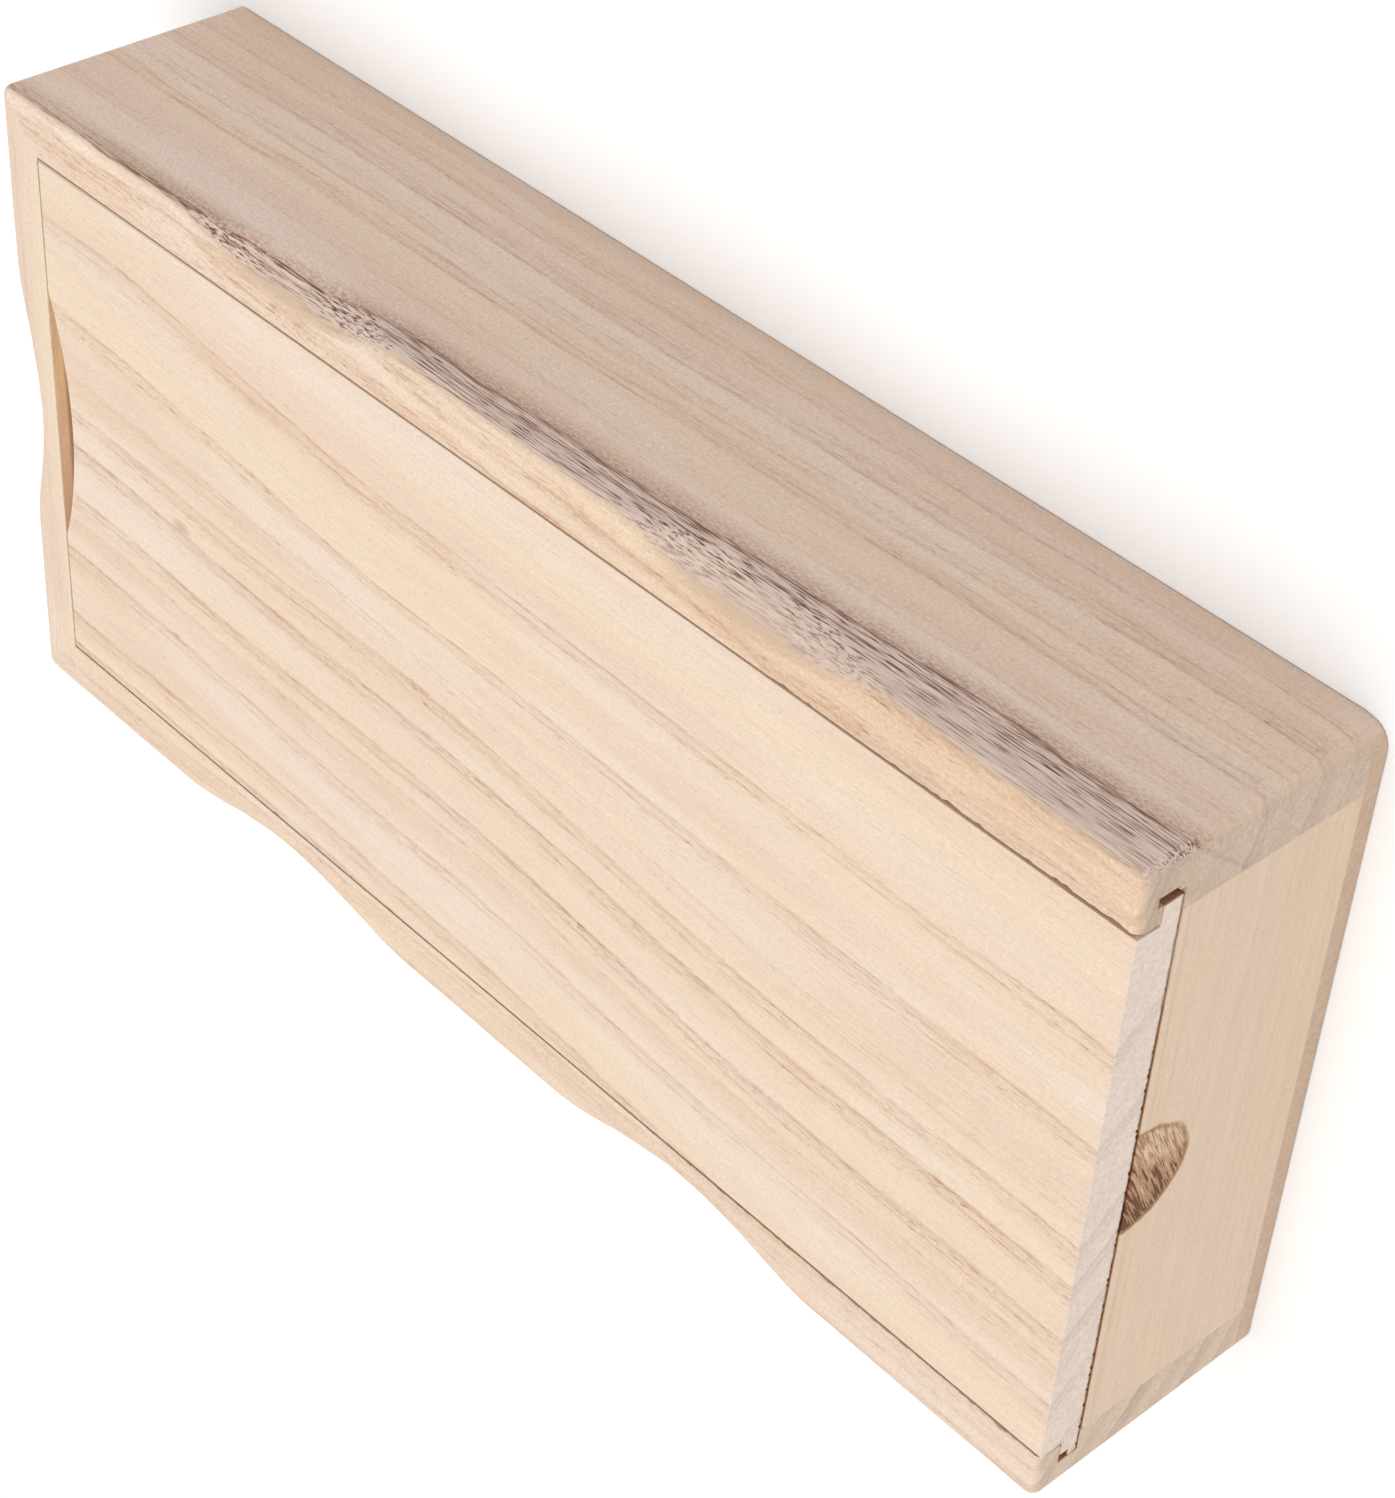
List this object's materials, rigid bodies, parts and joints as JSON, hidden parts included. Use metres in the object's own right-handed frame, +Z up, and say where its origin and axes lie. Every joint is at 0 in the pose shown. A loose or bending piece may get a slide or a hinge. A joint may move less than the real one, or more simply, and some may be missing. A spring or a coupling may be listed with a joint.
{
  "type": "sliding lid wooden box",
  "caption": "Pale wooden box with mitred walls, a grooved sliding lid, a crescent thumb notch and shallow scoops carved along the upper outer edge.",
  "frame": {"origin": "middle of the underside of the bottom board, on the surface the box lies on", "axes": "+X along the length, the way the lid slides out; +Y across the width; +Z up, out of the lid's face"},
  "size_m": [0.21, 0.1, 0.04],
  "materials": {
    "side_wood": "bare sanded, pinkish brown with darker streaks",
    "back_wood": "bare sanded",
    "panel_wood": "bare sanded, fine grain along its width, with one dark knot",
    "base_wood": "bare sanded",
    "lid_wood": "bare sanded, pale cream with pinkish grain lines"
  },
  "bodies": {
    "box": {"right_side": "side_wood", "left_side": "side_wood", "back_board": "back_wood", "front_panel": "panel_wood", "bottom_board": "base_wood"},
    "lid": {"lid": "lid_wood"}
  },
  "joints": [
    {"name": "lid_slide", "type": "slide", "parent": "box", "child": "lid", "axis": [1, 0, 0], "range_m": [0, 0.2]}
  ]
}
